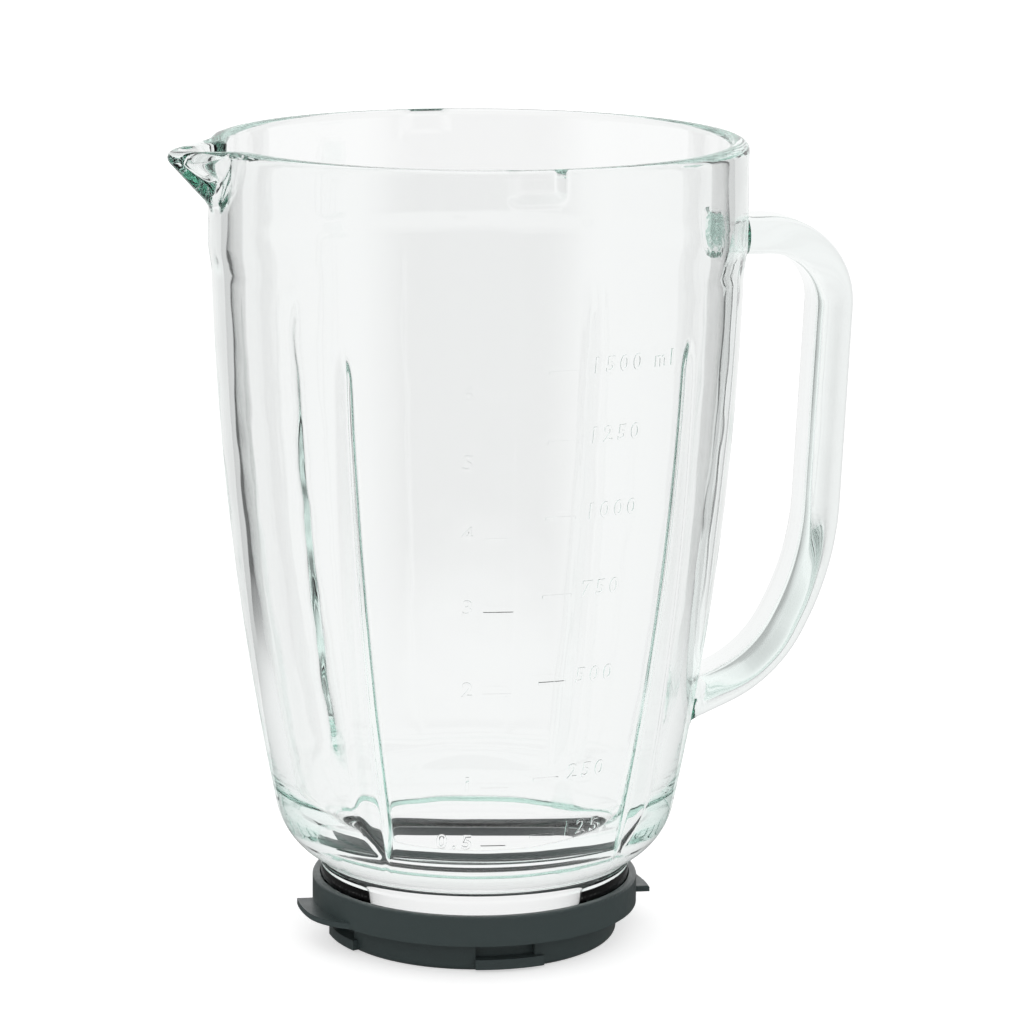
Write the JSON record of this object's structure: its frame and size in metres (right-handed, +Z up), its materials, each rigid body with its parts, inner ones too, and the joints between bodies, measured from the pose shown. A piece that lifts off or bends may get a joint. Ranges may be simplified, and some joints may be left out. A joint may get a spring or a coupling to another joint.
{
  "type": "blender jar",
  "caption": "Tapered clear glass blender jar with a side handle, a pouring spout and inner stirring ribs, on a dark bayonet base collar that locks it to a motor base.",
  "frame": {"origin": "on the jar's axis at the lower edge of the base collar, on the plane that it stands on", "axes": "+Z up along the jar's axis, +X towards the handle, -X towards the spout"},
  "size_m": [0.1888, 0.1454, 0.221],
  "materials": {
    "glass": "clear, faintly green, polished",
    "collar": "satin dark slate grey",
    "seal": "soft matt silicone"
  },
  "bodies": {
    "root": {"glass_jar": "glass", "base_collar": "collar", "foot_seal": "seal"}
  },
  "joints": []
}
